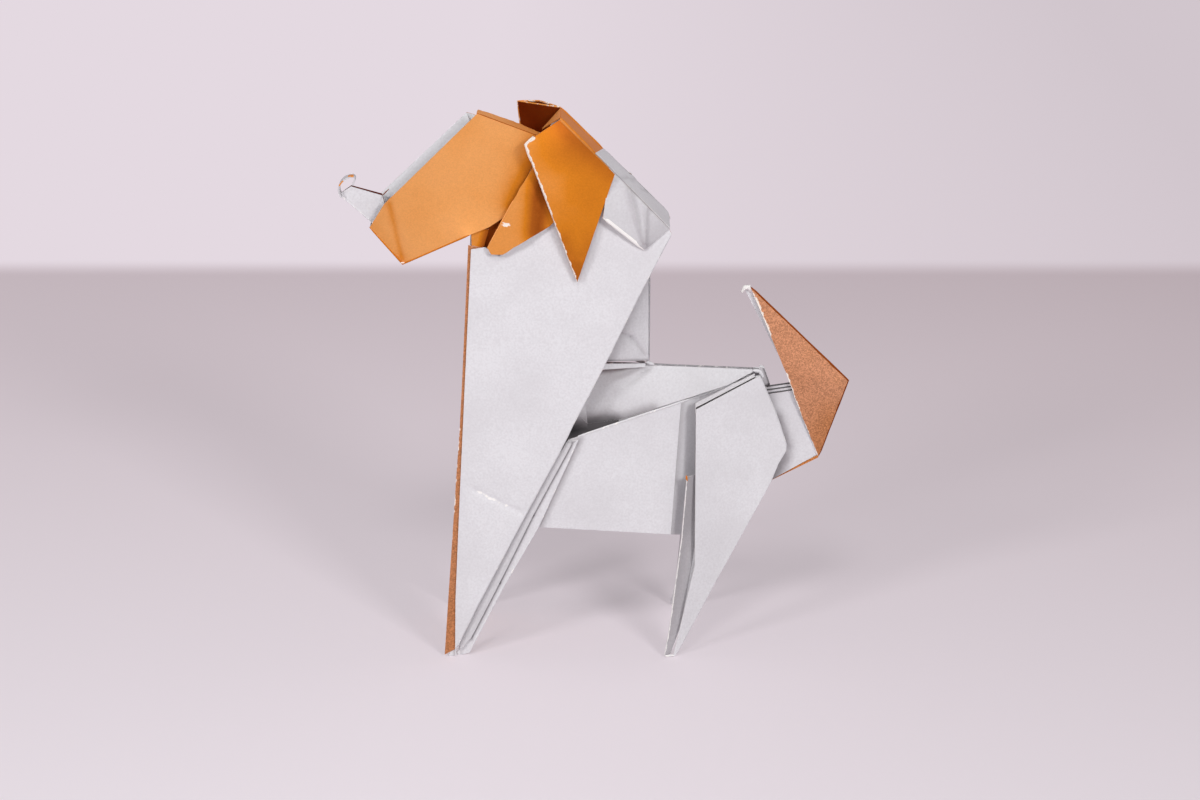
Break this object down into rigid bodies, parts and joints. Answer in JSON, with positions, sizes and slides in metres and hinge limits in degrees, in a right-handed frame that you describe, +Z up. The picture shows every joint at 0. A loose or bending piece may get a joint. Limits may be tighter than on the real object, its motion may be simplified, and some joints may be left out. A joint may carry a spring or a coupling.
{
  "type": "origami dog",
  "caption": "Standing dog folded from one square of two-sided paper, with a white body and a copper head, ears and tail.",
  "frame": {"origin": "middle of the footprint, on the surface that the four feet stand on", "axes": "+X towards the tail, +Y towards the dog's right side, +Z up"},
  "size_m": [0.0808, 0.021, 0.0886],
  "materials": {
    "paper": "satin pearl white on one side, metallic copper on the other"
  },
  "bodies": {
    "root": {"folded_sheet": "paper"}
  },
  "joints": []
}
